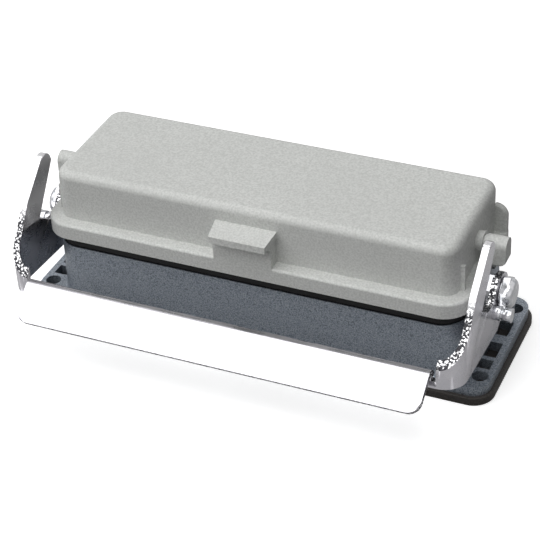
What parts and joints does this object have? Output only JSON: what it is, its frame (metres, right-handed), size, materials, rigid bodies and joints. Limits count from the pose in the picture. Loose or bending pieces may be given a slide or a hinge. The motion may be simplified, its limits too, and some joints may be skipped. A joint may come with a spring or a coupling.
{
  "type": "heavy duty rectangular connector",
  "caption": "Rectangular panel connector housing with a gasketed flange, a hinged protective cover and a bent steel locking lever on side pivots",
  "frame": {"origin": "centre of the mounting face, on the underside of the flange gasket", "axes": "+X along the length toward the right pivot, +Y toward the cover hinge, +Z out of the panel"},
  "size_m": [0.1424, 0.0762, 0.0466],
  "materials": {
    "casting": "fine speckled powder coat on die-cast aluminium",
    "cover_shell": "light grey moulded, fine grain",
    "gasket_rubber": "dark brown-grey flat rubber",
    "seal_rubber": "black rubber",
    "lever_steel": "zinc-plated steel sheet, satin",
    "screw_steel": "bright plated turned steel",
    "insulator": "light grey moulded insulator",
    "contact_metal": "turned contact metal"
  },
  "bodies": {
    "base": {"housing": "casting", "flange_gasket": "gasket_rubber", "rim_seal": "seal_rubber", "insert_body": "insulator", "contact_sockets": "contact_metal", "terminal_screws": "screw_steel", "earth_plate_left": "screw_steel", "earth_plate_right": "screw_steel", "insert_screws": "screw_steel", "earth_screws": "screw_steel", "pivot_stud_left": "screw_steel", "pivot_stud_right": "screw_steel", "spring_washer_left": "screw_steel", "spring_washer_right": "screw_steel", "cap_nut_left": "screw_steel", "cap_nut_right": "screw_steel", "hinge_pin_left": "screw_steel", "hinge_pin_right": "screw_steel"},
    "cover": {"cover": "cover_shell", "locking_peg_left": "cover_shell", "locking_peg_right": "cover_shell"},
    "lever": {"locking_lever": "lever_steel", "stop_stud_left": "screw_steel", "stop_stud_right": "screw_steel"}
  },
  "joints": [
    {"name": "lever_pivot", "type": "hinge", "parent": "base", "child": "lever", "pos_m": [0, -0.002, 0.024], "axis": [-1, 0, 0], "range_deg": [-12, 66]},
    {"name": "cover_hinge", "type": "hinge", "parent": "base", "child": "cover", "pos_m": [0, 0.0258, 0.0267], "axis": [-1, 0, 0], "range_deg": [0, 105]}
  ]
}
